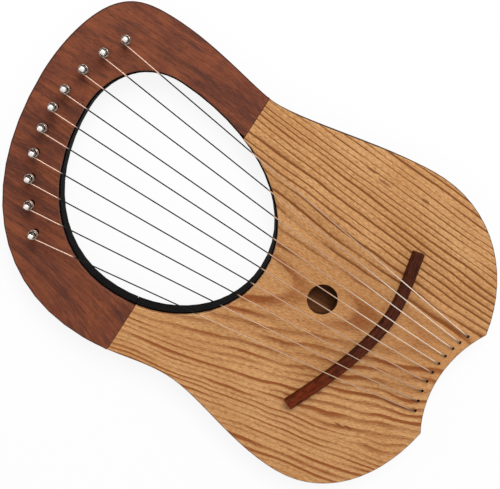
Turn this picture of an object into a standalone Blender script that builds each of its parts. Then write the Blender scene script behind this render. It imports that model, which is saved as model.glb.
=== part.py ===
"""A ten-string lyre harp lying on its back.

Metres, +Z up, +Y towards the yoke that holds the tuning pins, +X towards the harp's right side.
The origin is the middle of the body's outline, on the plane of its back.
"""
import math

import bmesh
import bpy
from mathutils import Matrix, Vector

# Overall sizes
LENGTH = 0.4000
WIDTH = 0.2690
DEPTH = 0.0260

# Plates, walls and the gap that every glue line keeps
FACE_THICKNESS = 0.0050
BACK_THICKNESS = 0.0040
RIB_THICKNESS = 0.0050
GLUE_GAP = 0.0003

# Places where the outer outline turns: a rise is measured up from the tail, a drop down from the top
LEFT_HORN_X = -0.0450
RIGHT_HORN_X = 0.0510
RIGHT_HORN_RISE = 0.0040
LEFT_LOBE_RISE = 0.0820
RIGHT_LOBE_RISE = 0.1060
LEFT_WAIST_X = -0.1123
LEFT_WAIST_RISE = 0.2010
RIGHT_WAIST_X = 0.1112
RIGHT_WAIST_RISE = 0.2460
LEFT_SHOULDER_X = -0.1206
LEFT_SHOULDER_DROP = 0.1280
RIGHT_SHOULDER_X = 0.1220
RIGHT_SHOULDER_DROP = 0.0660
TOP_X = 0.0360
TOP_CORNER_INSET = 0.0160
TOP_CORNER_DROP = 0.0184
TAIL_RADIUS = 0.0930
LEFT_HORN_HEADING = 174.0
RIGHT_HORN_HEADING = 195.0
TOP_CORNER_HEADING = -39.0

# Opening behind the strings, its dark wall that stands proud of the face, and the joint below the yoke
YOKE_WIDTH = 0.0388
YOKE_DROP = 0.1494
LEFT_ARM_WIDTH = 0.0416
RIGHT_ARM_WIDTH = 0.0355
OPENING_RISE = 0.1805
OPENING_TOP_X = 0.0310
OPENING_BOTTOM_X = -0.0030
OPENING_LEFT_DROP = 0.1310
OPENING_RIGHT_DROP = 0.0890
OPENING_LEDGE = 0.0012

# Sound hole
SOUND_HOLE_DIAMETER = 0.0240
SOUND_HOLE_X = 0.0051
SOUND_HOLE_DROP = 0.0495

# Bridge: its centre line sags between two ends, and its tail side is bevelled
BRIDGE_WIDTH = 0.0086
BRIDGE_HEIGHT = 0.0080
BRIDGE_RISE = 0.0789
BRIDGE_LOW_X = 0.0185
BRIDGE_LEFT_X = -0.0803
BRIDGE_LEFT_LIFT = 0.0283
BRIDGE_RIGHT_X = 0.0767
BRIDGE_RIGHT_LIFT = 0.0111
BRIDGE_LEFT_SLOPE = -23.7
BRIDGE_RIGHT_SLOPE = 14.0
BRIDGE_FRONT_BEVEL = 0.0010
BRIDGE_TAIL_BEVEL = 0.0018

# Tuning pins, drilled on an arc along the yoke: degrees round the arc, from the right
PIN_ANGLES = (58.5, 66.5, 74.8, 83.4, 90.3, 97.8, 106.3, 114.7, 123.4, 133.1)
PIN_ARC_X = 0.0214
PIN_ARC_RADIUS = 0.1308
PIN_INSET = 0.0206
PIN_DIAMETER = 0.0044
PIN_EXPOSED = 0.0195
PIN_EMBEDDED = 0.0220
PIN_CLEARANCE = 0.0003
PIN_TIP_CHAMFER = 0.0010
PIN_HEAD_ACROSS = 0.0037
PIN_HEAD_LENGTH = 0.0052
PIN_DOME = 0.0010
PIN_DOME_SHARE = 0.6

# String holes, drilled on an arc along the tail edge: degrees round the arc, from the right
HOLE_ANGLES = (69.0, 73.5, 77.7, 82.5, 87.0, 92.0, 97.0, 102.0, 107.0, 112.0)
HOLE_INSET = 0.0072

# Strings, their turns round the pins, and their anchors at the tail
WIRE_DIAMETER = 0.0008
WIRE_LIFT = 0.0090
WIRE_HOLE_CLEARANCE = 0.0008
WIRE_BEND_RADIUS = 0.0012
WIRE_BEND_RISE = 0.0016
FIRST_TURN = 300.0
COIL_TURNS = 2.25
COIL_GAP = 0.00045
COIL_HOOK_RADIUS = 0.0008
CROSS_HOLE_CLEARANCE = 0.0004
BALL_DIAMETER = 0.0042
BALL_CLEARANCE = 0.0005
BALL_RECESS = 0.0008
BALL_END_SHARE = 0.72
BALL_ROUNDING_SHARE = 0.3

# Blocks, braces and dowels inside
TAIL_BLOCK_RISE = 0.0450
ARM_BLOCK_LENGTH = 0.0350
DOWEL_DIAMETER = 0.0070
DOWEL_LENGTH = 0.0400
DOWEL_SPACING = 0.0120
BRACE_WIDTH = 0.0060
BRACE_HEIGHT = 0.0080
SOUNDBOARD_BRACE_RISE = 0.1000
BACK_BRACE_RISE = 0.0700

# Facets
CURVE_POINTS = 14
ARC_POINTS = 14
BRIDGE_POINTS = 9
SOUND_HOLE_SIDES = 32
PIN_SIDES = 16
DRILL_SIDES = 12
BALL_SIDES = 10
TURN_POINTS = 18
BEND_STEPS = 4
HOOK_STEPS = 5

# Levels and places worked out from the sizes above
TOP = LENGTH / 2
TAIL = -LENGTH / 2
JOINT = TOP - YOKE_DROP
CORE_LOW = BACK_THICKNESS + GLUE_GAP
CORE_HIGH = DEPTH - FACE_THICKNESS - GLUE_GAP
FACE_LOW = DEPTH - FACE_THICKNESS
ARM_LEVEL = JOINT - GLUE_GAP / 2
YOKE_LEVEL = JOINT + GLUE_GAP / 2
SOUND_HOLE_CENTRE = Vector((SOUND_HOLE_X, TAIL + OPENING_RISE - SOUND_HOLE_DROP))
WIRE_RADIUS = WIRE_DIAMETER / 2
PIN_RADIUS = PIN_DIAMETER / 2
COIL_RADIUS = PIN_RADIUS + GLUE_GAP + WIRE_RADIUS
COIL_PITCH = WIRE_DIAMETER + COIL_GAP
COIL_START = WIRE_LIFT + COIL_PITCH
COIL_END = COIL_START + COIL_PITCH * COIL_TURNS
BRIDGE_SEAT = DEPTH + GLUE_GAP
BRIDGE_TOP = BRIDGE_SEAT + BRIDGE_HEIGHT
UP = Vector((0, 1))
DOWN = Vector((0, -1))
RIGHT = Vector((1, 0))
LEFT = Vector((-1, 0))


def heading(degrees):
    return Vector((math.cos(math.radians(degrees)), math.sin(math.radians(degrees))))


def lifted(point, height):
    return Vector((point.x, point.y, height))


# Outlines, as points on the plane of the body

def bow(start, start_way, start_fullness, end, end_way, end_fullness, count):
    """One cubic curve without its last point. A fullness of 0.55 draws a quarter of an ellipse."""
    span = end - start
    first = start + start_way * abs(span.dot(start_way)) * start_fullness
    second = end - end_way * abs(span.dot(end_way)) * end_fullness
    points = []
    for step in range(count):
        t = step / count
        u = 1 - t
        points.append(start * u ** 3 + first * 3 * u * u * t + second * 3 * u * t * t + end * t ** 3)
    return points


def smooth_run(stations):
    """A run of curves through stations of (point, way, fullness before it, fullness after it)."""
    points = []
    for here, there in zip(stations, stations[1:]):
        points += bow(here[0], here[1], here[3], there[0], there[1], there[2], CURVE_POINTS)
    points.append(stations[-1][0])
    return points


def outer_outline():
    """From the left horn up the left side, over the top and down to the right horn."""
    half = WIDTH / 2
    top_corner = Vector((RIGHT_SHOULDER_X - TOP_CORNER_INSET, TOP - TOP_CORNER_DROP))
    return smooth_run((
        (Vector((LEFT_HORN_X, TAIL)), heading(LEFT_HORN_HEADING), 0, 0.54),
        (Vector((-half, TAIL + LEFT_LOBE_RISE)), UP, 0.56, 0.38),
        (Vector((LEFT_WAIST_X, TAIL + LEFT_WAIST_RISE)), UP, 0.26, 0.34),
        (Vector((LEFT_SHOULDER_X, TOP - LEFT_SHOULDER_DROP)), UP, 0.38, 0.63),
        (Vector((TOP_X, TOP)), RIGHT, 0.59, 0.38),
        (top_corner, heading(TOP_CORNER_HEADING), 0.28, 0.40),
        (Vector((RIGHT_SHOULDER_X, TOP - RIGHT_SHOULDER_DROP)), DOWN, 0.51, 0.39),
        (Vector((RIGHT_WAIST_X, TAIL + RIGHT_WAIST_RISE)), DOWN, 0.18, 0.22),
        (Vector((half, TAIL + RIGHT_LOBE_RISE)), DOWN, 0.29, 0.48),
        (Vector((RIGHT_HORN_X, TAIL + RIGHT_HORN_RISE)), heading(RIGHT_HORN_HEADING), 0.48, 0),
    ))


def opening_outline():
    """Round the opening, from its top down the right side and up the left side again."""
    top = Vector((OPENING_TOP_X, TOP - YOKE_WIDTH))
    return smooth_run((
        (top, RIGHT, 0, 0.56),
        (Vector((RIGHT_SHOULDER_X - RIGHT_ARM_WIDTH, TOP - OPENING_RIGHT_DROP)), DOWN, 0.59, 0.53),
        (Vector((OPENING_BOTTOM_X, TAIL + OPENING_RISE)), LEFT, 0.60, 0.56),
        (Vector((LEFT_SHOULDER_X + LEFT_ARM_WIDTH, TOP - OPENING_LEFT_DROP)), UP, 0.57, 0.62),
        (top, RIGHT, 0.55, 0),
    ))


def moved_in(points, distance):
    """The run of points moved to the right of its own direction, which is clockwise."""
    moved = []
    last = len(points) - 1
    for index, point in enumerate(points):
        way = (points[min(index + 1, last)] - points[max(index - 1, 0)]).normalized()
        moved.append(point + Vector((way.y, -way.x)) * distance)
    return moved


def between(run, low, high):
    """The stretch of a steadily rising or falling run from one height to another."""
    kept = []
    for here, there in zip(run, run[1:]):
        if low <= here.y <= high:
            kept.append(here)
        crossed = [level for level in (low, high) if (here.y - level) * (there.y - level) < 0]
        for level in sorted(crossed, reverse=here.y > there.y):
            kept.append(here.lerp(there, (level - here.y) / (there.y - here.y)))
    if low <= run[-1].y <= high:
        kept.append(run[-1])
    return kept


def left_half(outline):
    return outline[:4 * CURVE_POINTS + 1]


def right_half(outline):
    return outline[4 * CURVE_POINTS:]


def opening_right(outline):
    return outline[:2 * CURVE_POINTS + 1]


def opening_left(outline):
    return outline[2 * CURVE_POINTS:]


def tail_arc_centre():
    left = Vector((LEFT_HORN_X, TAIL))
    right = Vector((RIGHT_HORN_X, TAIL + RIGHT_HORN_RISE))
    half_chord = (right - left) / 2
    drop = math.sqrt(TAIL_RADIUS ** 2 - half_chord.length_squared)
    return left + half_chord + Vector((half_chord.y, -half_chord.x)).normalized() * drop


def tail_arc(trim):
    """The hollow tail edge from the right horn to the left one, trimmed by a length at both ends."""
    centre = tail_arc_centre()
    right = Vector((RIGHT_HORN_X, TAIL + RIGHT_HORN_RISE)) - centre
    left = Vector((LEFT_HORN_X, TAIL)) - centre
    first = math.atan2(right.y, right.x) + trim / TAIL_RADIUS
    last = math.atan2(left.y, left.x) - trim / TAIL_RADIUS
    points = []
    for step in range(ARC_POINTS + 1):
        angle = math.degrees(first + (last - first) * step / ARC_POINTS)
        points.append(centre + heading(angle) * TAIL_RADIUS)
    return points


def circle(centre, radius, sides):
    return [centre + heading(360 * step / sides) * radius for step in range(sides)]


def board_outline(outline, opening):
    """The plate below the yoke: body outline, arms, the opening's lower edge and the tail."""
    lower_opening = between(opening_right(opening), TAIL, ARM_LEVEL)
    lower_opening += between(opening_left(opening), TAIL, ARM_LEVEL)[1:]
    points = between(left_half(outline), TAIL, ARM_LEVEL)
    points += lower_opening[::-1]
    points += between(right_half(outline), TAIL, ARM_LEVEL)
    return points + tail_arc(0)[1:-1]


def yoke_outline(outline, opening):
    points = between(left_half(outline), YOKE_LEVEL, TOP)
    points += between(right_half(outline), YOKE_LEVEL, TOP)[1:]
    points += between(opening_right(opening), YOKE_LEVEL, TOP)[::-1]
    return points + between(opening_left(opening), YOKE_LEVEL, TOP)[::-1][1:]


def opening_wall(outline, depth):
    """The opening's lower edge, moved back into the body by a depth."""
    moved = moved_in(outline, -depth)
    return between(opening_right(moved), TAIL, ARM_LEVEL) + between(opening_left(moved), TAIL, ARM_LEVEL)[1:]


def tail_block_outline(outline):
    """Between the ribs' inner faces, from the tail edge up to a straight front."""
    inner = moved_in(outline, RIB_THICKNESS + GLUE_GAP)
    front = TAIL + TAIL_BLOCK_RISE
    left = between(left_half(inner), TAIL, front)
    right = between(right_half(inner), TAIL, front)
    left_corner = left[0] - heading(LEFT_HORN_HEADING) * GLUE_GAP
    right_corner = right[-1] + heading(RIGHT_HORN_HEADING) * GLUE_GAP
    return tail_arc(2 * GLUE_GAP) + [left_corner] + left + right + [right_corner]


def arm_block_outline(outer_half, opening_half):
    """Between the outer rib and the opening's rib, just below the joint with the yoke."""
    low = ARM_LEVEL - ARM_BLOCK_LENGTH
    return between(outer_half, low, ARM_LEVEL) + between(opening_half, low, ARM_LEVEL)


# Places of the pins, the string holes and the bridge

def pin_places():
    centre = Vector((PIN_ARC_X, TOP - PIN_INSET - PIN_ARC_RADIUS))
    return [centre + heading(angle) * PIN_ARC_RADIUS for angle in PIN_ANGLES]


def hole_places():
    centre = tail_arc_centre()
    return [centre + heading(angle) * (TAIL_RADIUS + HOLE_INSET) for angle in HOLE_ANGLES]


def bridge_line():
    """The bridge's centre line from its left end to its right end."""
    low = Vector((BRIDGE_LOW_X, TAIL + BRIDGE_RISE))
    left = Vector((BRIDGE_LEFT_X, low.y + BRIDGE_LEFT_LIFT))
    right = Vector((BRIDGE_RIGHT_X, low.y + BRIDGE_RIGHT_LIFT))
    points = bow(left, heading(BRIDGE_LEFT_SLOPE), 0.10, low, RIGHT, 0.36, BRIDGE_POINTS)
    points += bow(low, RIGHT, 0.35, right, heading(BRIDGE_RIGHT_SLOPE), 0.46, BRIDGE_POINTS)
    return points + [right]


def bridge_crest():
    """The line on the bridge's top where the strings bend down to the tail."""
    return moved_in(bridge_line(), BRIDGE_WIDTH / 2 - BRIDGE_TAIL_BEVEL)


def crossing(start, end, run):
    """Where a straight line in plan meets a run of points."""
    way = end - start
    for here, there in zip(run, run[1:]):
        step = there - here
        divisor = way.x * step.y - way.y * step.x
        gap = here - start
        along = (gap.x * step.y - gap.y * step.x) / divisor
        across = (gap.x * way.y - gap.y * way.x) / divisor
        if 0 <= along <= 1 and 0 <= across <= 1:
            return start + way * along
    raise ValueError("the string misses the bridge")


def leaving_angle(pin, hole):
    """The angle round the pin, in radians, where its string leaves on the left side."""
    way = hole - pin
    return math.atan2(way.y, way.x) - math.acos(COIL_RADIUS / way.length)


# Building blocks for solids

def material(name, colour, roughness, metallic=0.0):
    made = bpy.data.materials.new(name)
    made.use_nodes = True
    shader = made.node_tree.nodes["Principled BSDF"]
    shader.inputs["Base Color"].default_value = (*colour, 1)
    shader.inputs["Roughness"].default_value = roughness
    shader.inputs["Metallic"].default_value = metallic
    return made


def add_object(name, data, finish):
    data.materials.clear()
    data.materials.append(finish)
    made = bpy.data.objects.new(name, data)
    bpy.context.collection.objects.link(made)
    return made


def finished_mesh(name, shape):
    bmesh.ops.recalc_face_normals(shape, faces=shape.faces)
    mesh = bpy.data.meshes.new(name)
    shape.to_mesh(mesh)
    shape.free()
    mesh.shade_smooth()
    mesh.set_sharp_from_angle(angle=math.radians(35))
    return mesh


def slab(name, loops, low, high, finish):
    """A flat plate from an outer loop of points and any holes in it."""
    shape = bmesh.new()
    edges = []
    for loop in loops:
        corners = [shape.verts.new(lifted(point, low)) for point in loop]
        edges += [shape.edges.new((corners[i - 1], corners[i])) for i in range(len(corners))]
    bmesh.ops.triangle_fill(shape, use_beauty=True, edges=edges)
    raised = bmesh.ops.extrude_face_region(shape, geom=shape.faces[:])["geom"]
    corners = [item for item in raised if isinstance(item, bmesh.types.BMVert)]
    bmesh.ops.translate(shape, vec=(0, 0, high - low), verts=corners)
    return add_object(name, finished_mesh(name, shape), finish)


def rings_to_mesh(name, rings):
    """A closed solid from rings of points of one count, with a flat cap at each end."""
    shape = bmesh.new()
    rows = [[shape.verts.new(point) for point in ring] for ring in rings]
    for lower, upper in zip(rows, rows[1:]):
        for i in range(len(lower)):
            shape.faces.new((lower[i - 1], lower[i], upper[i], upper[i - 1]))
    shape.faces.new(rows[0][::-1])
    shape.faces.new(rows[-1])
    return finished_mesh(name, shape)


def turned_rings(profile, sides):
    """Rings of a turned piece from (radius, height) pairs."""
    return [[lifted(point, height) for point in circle(Vector((0, 0)), radius, sides)]
            for radius, height in profile]


def wire(name, points, finish):
    """A round wire along its own points, with closed ends."""
    curve = bpy.data.curves.new(name, "CURVE")
    curve.dimensions = "3D"
    curve.bevel_depth = WIRE_RADIUS
    curve.bevel_resolution = 1
    curve.use_fill_caps = True
    spline = curve.splines.new("POLY")
    spline.points.add(len(points) - 1)
    for spot, point in zip(spline.points, points):
        spot.co = (*point, 1)
    spline.use_smooth = True
    return add_object(name, curve, finish)


def drill_set(name, posts, sides):
    """A hidden cutter of round posts: (foot, way, radius, length). Flats keep the full radius."""
    shape = bmesh.new()
    for foot, way, radius, length in posts:
        turn = Vector((0, 0, 1)).rotation_difference(way).to_matrix().to_4x4()
        place = Matrix.Translation(foot + way * length / 2) @ turn
        corner_radius = radius / math.cos(math.pi / sides)
        bmesh.ops.create_cone(shape, cap_ends=True, segments=sides, radius1=corner_radius,
                              radius2=corner_radius, depth=length, matrix=place)
    mesh = bpy.data.meshes.new(name)
    shape.to_mesh(mesh)
    shape.free()
    cutter = bpy.data.objects.new(name, mesh)
    cutter.hide_render = True
    cutter.display_type = "WIRE"
    bpy.context.collection.objects.link(cutter)
    return cutter


def drill(target, cutter):
    cut = target.modifiers.new(cutter.name, "BOOLEAN")
    cut.operation = "DIFFERENCE"
    cut.solver = "EXACT"
    cut.object = cutter


# Wooden body

def build_plates(outline, opening, core_opening, finishes):
    """Soundboard and back below the joint, and the yoke's face and block above it."""
    board = board_outline(outline, opening)
    back = board_outline(outline, core_opening)
    yoke = yoke_outline(outline, opening)
    sound_hole = circle(SOUND_HOLE_CENTRE, SOUND_HOLE_DIAMETER / 2, SOUND_HOLE_SIDES)
    wire_hole = WIRE_RADIUS + WIRE_HOLE_CLEARANCE
    wire_holes = [circle(hole, wire_hole, DRILL_SIDES) for hole in hole_places()]
    ball_hole = BALL_DIAMETER / 2 + BALL_CLEARANCE
    ball_holes = [circle(hole, ball_hole, BALL_SIDES) for hole in hole_places()]
    pin_hole = (PIN_RADIUS + PIN_CLEARANCE) / math.cos(math.pi / PIN_SIDES)
    pin_holes = [circle(pin, pin_hole, PIN_SIDES) for pin in pin_places()]
    slab("soundboard", [board, sound_hole] + wire_holes, FACE_LOW, DEPTH, finishes["ash"])
    slab("back_plate", [back] + ball_holes, 0, BACK_THICKNESS, finishes["ebonised"])
    slab("yoke_face", [yoke] + pin_holes, FACE_LOW, DEPTH, finishes["rosewood"])
    yoke_core = yoke_outline(outline, core_opening)
    block = slab("yoke_block", [yoke_core], 0, CORE_HIGH, finishes["ebonised"])
    foot = DEPTH - PIN_EMBEDDED - PIN_CLEARANCE
    posts = [(lifted(pin, foot), Vector((0, 0, 1)), PIN_RADIUS + PIN_CLEARANCE, PIN_EMBEDDED)
             for pin in pin_places()]
    drill(block, drill_set("pin_drill", posts, PIN_SIDES))
    tail_block = [tail_block_outline(outline)] + wire_holes
    slab("tail_block", tail_block, CORE_LOW, CORE_HIGH, finishes["ebonised"])
    return block


def build_ribs(outline, core_opening, finishes):
    """Thin walls that close the sound box along the sides and below the opening."""
    inner = moved_in(outline, RIB_THICKNESS)
    for name, half in (("left_rib", left_half), ("right_rib", right_half)):
        wall = between(half(outline), TAIL, ARM_LEVEL) + between(half(inner), TAIL, ARM_LEVEL)[::-1]
        slab(name, [wall], CORE_LOW, CORE_HIGH, finishes["ebonised"])
    wall = opening_wall(core_opening, 0) + opening_wall(core_opening, RIB_THICKNESS)[::-1]
    slab("opening_rib", [wall], CORE_LOW, CORE_HIGH, finishes["ebonised"])


def build_arm_joint(side, outer_half, opening_half, yoke_block, finishes):
    """The block at the top of one arm, and the two dowels that join it to the yoke."""
    outline = arm_block_outline(outer_half, opening_half)
    block = slab(f"{side}_arm_block", [outline], CORE_LOW, CORE_HIGH, finishes["spruce"])
    joint_ends = [point.x for point in outline if abs(point.y - ARM_LEVEL) < GLUE_GAP / 2]
    middle = (min(joint_ends) + max(joint_ends)) / 2
    height = (CORE_LOW + CORE_HIGH) / 2
    way = Vector((0, 1, 0))
    for number, offset in ((1, -DOWEL_SPACING / 2), (2, DOWEL_SPACING / 2)):
        name = f"{side}_dowel_{number}"
        foot = Vector((middle + offset, JOINT - DOWEL_LENGTH / 2, height))
        profile = ((DOWEL_DIAMETER / 2, 0), (DOWEL_DIAMETER / 2, DOWEL_LENGTH))
        dowel = add_object(name, rings_to_mesh(name, turned_rings(profile, BALL_SIDES)), finishes["spruce"])
        dowel.location = foot
        dowel.rotation_euler = (-math.pi / 2, 0, 0)
        bore = [(foot - way * GLUE_GAP, way, DOWEL_DIAMETER / 2 + GLUE_GAP, DOWEL_LENGTH + 2 * GLUE_GAP)]
        cutter = drill_set(f"{name}_drill", bore, PIN_SIDES)
        drill(block, cutter)
        drill(yoke_block, cutter)


def build_brace(name, rise, low, outline, finish):
    """A straight bar across the sound box, from rib to rib."""
    inner = moved_in(outline, RIB_THICKNESS + GLUE_GAP)
    near = TAIL + rise - BRACE_WIDTH / 2
    far = TAIL + rise + BRACE_WIDTH / 2
    left = max(point.x for point in between(left_half(inner), near, far))
    right = min(point.x for point in between(right_half(inner), near, far))
    corners = [Vector((left, near)), Vector((left, far)), Vector((right, far)), Vector((right, near))]
    slab(name, [corners], low, low + BRACE_HEIGHT, finish)


def build_bridge(finish):
    """A sagging bar on the soundboard, with a small front bevel and a wider one towards the tail."""
    half = BRIDGE_WIDTH / 2
    section = (
        (-half, BRIDGE_SEAT),
        (-half, BRIDGE_TOP - BRIDGE_FRONT_BEVEL),
        (BRIDGE_FRONT_BEVEL - half, BRIDGE_TOP),
        (half - BRIDGE_TAIL_BEVEL, BRIDGE_TOP),
        (half, BRIDGE_TOP - BRIDGE_TAIL_BEVEL),
        (half, BRIDGE_SEAT),
    )
    edges = [[lifted(point, height) for point in moved_in(bridge_line(), across)]
             for across, height in section]
    add_object("bridge", rings_to_mesh("bridge", list(zip(*edges))), finish)


# Strings and tuning pins, one set for each string

def bend(corner, way_in, way_out):
    """Points round a corner of a wire, from one straight to the next."""
    turn = way_in.angle(way_out)
    reach = WIRE_BEND_RADIUS * math.tan(turn / 2)
    side = (way_out - way_in * way_out.dot(way_in)).normalized()
    centre = corner - way_in * reach + side * WIRE_BEND_RADIUS
    points = []
    for step in range(BEND_STEPS + 1):
        angle = turn * step / BEND_STEPS
        points.append(centre + (way_in * math.sin(angle) - side * math.cos(angle)) * WIRE_BEND_RADIUS)
    return points


def string_route(pin, hole):
    """From the ball up through the tail, over the bridge, and once round the tuning pin."""
    leaving = leaving_angle(pin, hole)
    start = pin + heading(math.degrees(leaving)) * COIL_RADIUS
    crest = lifted(crossing(start, hole, bridge_crest()), BRIDGE_TOP + GLUE_GAP + WIRE_RADIUS)
    corner = lifted(hole, DEPTH + WIRE_BEND_RISE)
    points = [lifted(hole, CORE_LOW)]
    points += bend(corner, Vector((0, 0, 1)), (crest - corner).normalized())
    points.append(crest)
    height = DEPTH + WIRE_LIFT
    steps = round(TURN_POINTS * FIRST_TURN / 360)
    for step in range(steps + 1):
        angle = math.degrees(leaving) - FIRST_TURN * step / steps
        points.append(lifted(pin + heading(angle) * COIL_RADIUS, height))
    end_way = heading(math.degrees(leaving) - FIRST_TURN - 90)
    points.append(points[-1] + lifted(end_way, 0) * WIRE_DIAMETER)
    return points


def coil_points():
    """The turns above the string's own turn, ending in the pin's cross hole. Angle 0 is where it leaves."""
    steps = round(TURN_POINTS * COIL_TURNS)
    points = []
    for step in range(steps + 1):
        share = step / steps
        turned = heading(-FIRST_TURN - 360 * COIL_TURNS * share) * COIL_RADIUS
        points.append(lifted(turned, COIL_START + (COIL_END - COIL_START) * share))
    tail_way = heading(90 - FIRST_TURN)
    points.insert(0, points[0] + lifted(tail_way, 0) * WIRE_DIAMETER)
    end = -FIRST_TURN - 360 * COIL_TURNS
    reach, swing = hook_sizes()
    centre = heading(end) * (COIL_RADIUS - COIL_HOOK_RADIUS)
    for step in range(1, HOOK_STEPS + 1):
        angle = end - (90 + swing) * step / HOOK_STEPS
        points.append(lifted(centre + heading(angle) * COIL_HOOK_RADIUS, COIL_END))
    points.append(lifted(heading(end - swing) * (reach - 2 * WIRE_DIAMETER), COIL_END))
    return points


def hook_sizes():
    """How far out on the cross hole's line the wire starts to turn, and the angle to the coil's end."""
    reach = math.sqrt(COIL_RADIUS ** 2 - 2 * COIL_RADIUS * COIL_HOOK_RADIUS)
    return reach, math.degrees(math.atan2(COIL_HOOK_RADIUS, reach))


def least_gap(points):
    """The smallest clear distance between turns of the coil that aren't next to each other."""
    apart = TURN_POINTS // 2
    distances = [(points[j] - points[i]).length
                 for i in range(len(points)) for j in range(i + apart, len(points))]
    return min(distances) - WIRE_DIAMETER


def pin_mesh():
    """A turned pin with a square, domed head and a cross hole for the wire."""
    flat = PIN_HEAD_ACROSS / 2
    head_foot = PIN_EXPOSED - PIN_HEAD_LENGTH
    rings = turned_rings((
        (PIN_RADIUS - PIN_TIP_CHAMFER, -PIN_EMBEDDED),
        (PIN_RADIUS, PIN_TIP_CHAMFER - PIN_EMBEDDED),
        (PIN_RADIUS, head_foot - (PIN_RADIUS - flat)),
    ), PIN_SIDES)
    head = ((1.0, head_foot), (1.0, PIN_EXPOSED - PIN_DOME), (PIN_DOME_SHARE, PIN_EXPOSED))
    for scale, height in head:
        ring = []
        for point in circle(Vector((0, 0)), 1.0, PIN_SIDES):
            across = flat / max(abs(point.x), abs(point.y))
            ring.append(lifted(point * min(across, PIN_RADIUS) * scale, height))
        rings.append(ring)
    blank = bpy.data.objects.new("pin_blank", rings_to_mesh("pin_blank", rings))
    bpy.context.collection.objects.link(blank)
    way = lifted(heading(-FIRST_TURN - 360 * COIL_TURNS - hook_sizes()[1]), 0)
    foot = Vector((0, 0, COIL_END)) - way * PIN_DIAMETER
    cutter = drill_set("cross_drill", [(foot, way, WIRE_RADIUS + CROSS_HOLE_CLEARANCE, 2 * PIN_DIAMETER)],
                       DRILL_SIDES)
    drill(blank, cutter)
    drilled = blank.evaluated_get(bpy.context.evaluated_depsgraph_get())
    mesh = bpy.data.meshes.new_from_object(drilled)
    bpy.data.objects.remove(blank)
    bpy.data.objects.remove(cutter)
    return mesh


def ball_mesh():
    """The barrel-shaped bead that holds a string's end in the back."""
    radius = BALL_DIAMETER / 2
    rounding = (BACK_THICKNESS - BALL_RECESS) * BALL_ROUNDING_SHARE
    return rings_to_mesh("ball_end", turned_rings((
        (radius * BALL_END_SHARE, BALL_RECESS),
        (radius, BALL_RECESS + rounding),
        (radius, BACK_THICKNESS - rounding),
        (radius * BALL_END_SHARE, BACK_THICKNESS),
    ), BALL_SIDES))


def build_strings(finishes):
    """Each string with its ball end, its tuning pin and the turns of wire that the pin carries."""
    shared_pin = pin_mesh()
    coil = coil_points()
    print(f"least gap between the turns of a coil: {least_gap(coil) * 1000:.2f} mm")
    shared_ball = ball_mesh()
    for number, (pin, hole) in enumerate(zip(pin_places(), hole_places()), start=1):
        wire(f"string_{number:02d}", string_route(pin, hole), finishes["steel"])
        anchor = add_object(f"ball_end_{number:02d}", shared_ball, finishes["brass"])
        anchor.location = lifted(hole, 0)
        turned = add_object(f"tuning_pin_{number:02d}", shared_pin, finishes["nickel"])
        wound = wire(f"winding_{number:02d}", coil, finishes["steel"])
        for piece in (turned, wound):
            piece.location = lifted(pin, DEPTH)
            piece.rotation_euler = (0, 0, leaving_angle(pin, hole))


def build():
    for old in list(bpy.data.objects):
        bpy.data.objects.remove(old)
    finishes = {
        "ash": material("ash", (0.60, 0.33, 0.13), 0.45),
        "rosewood": material("rosewood", (0.17, 0.055, 0.025), 0.40),
        "dark_rosewood": material("dark_rosewood", (0.05, 0.012, 0.008), 0.40),
        "ebonised": material("ebonised", (0.02, 0.012, 0.010), 0.55),
        "spruce": material("spruce", (0.62, 0.45, 0.26), 0.60),
        "nickel": material("nickel", (0.82, 0.80, 0.77), 0.18, 1.0),
        "steel": material("steel", (0.72, 0.72, 0.72), 0.25, 1.0),
        "brass": material("brass", (0.72, 0.52, 0.20), 0.30, 1.0),
    }
    outline = outer_outline()
    opening = opening_outline()
    core_opening = moved_in(opening, OPENING_LEDGE)
    yoke_block = build_plates(outline, opening, core_opening, finishes)
    build_ribs(outline, core_opening, finishes)
    inner = moved_in(outline, RIB_THICKNESS + GLUE_GAP)
    behind = moved_in(core_opening, -(RIB_THICKNESS + GLUE_GAP))
    build_arm_joint("left", left_half(inner), opening_left(behind)[::-1], yoke_block, finishes)
    build_arm_joint("right", right_half(inner), opening_right(behind)[::-1], yoke_block, finishes)
    high = CORE_HIGH - BRACE_HEIGHT
    build_brace("soundboard_brace", SOUNDBOARD_BRACE_RISE, high, outline, finishes["spruce"])
    build_brace("back_brace", BACK_BRACE_RISE, CORE_LOW, outline, finishes["spruce"])
    build_bridge(finishes["dark_rosewood"])
    build_strings(finishes)


build()
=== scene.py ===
import math
import bmesh
import bpy
from mathutils import Matrix, Vector


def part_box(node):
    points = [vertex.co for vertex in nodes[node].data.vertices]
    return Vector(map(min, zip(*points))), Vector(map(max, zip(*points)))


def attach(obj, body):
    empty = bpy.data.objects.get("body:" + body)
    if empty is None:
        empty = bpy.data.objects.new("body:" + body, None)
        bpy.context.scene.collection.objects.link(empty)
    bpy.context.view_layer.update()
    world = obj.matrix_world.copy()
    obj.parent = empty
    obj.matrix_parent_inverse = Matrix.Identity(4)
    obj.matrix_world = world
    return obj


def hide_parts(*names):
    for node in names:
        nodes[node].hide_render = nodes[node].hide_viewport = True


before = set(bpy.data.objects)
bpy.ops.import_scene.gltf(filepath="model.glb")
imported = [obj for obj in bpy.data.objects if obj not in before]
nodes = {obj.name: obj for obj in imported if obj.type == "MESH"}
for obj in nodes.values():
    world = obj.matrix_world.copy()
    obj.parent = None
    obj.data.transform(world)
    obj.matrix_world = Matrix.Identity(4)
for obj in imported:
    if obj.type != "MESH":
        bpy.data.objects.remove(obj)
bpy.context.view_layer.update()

# Camera: where it stands, the point that it looks at, and the heading of the picture's right side
CAMERA_PLACE = Vector((0.10767, 0.10071, 0.66600))
CAMERA_TARGET = Vector((0.01128, 0.00256, 0.02600))
PICTURE_RIGHT_HEADING = -57.33
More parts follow.
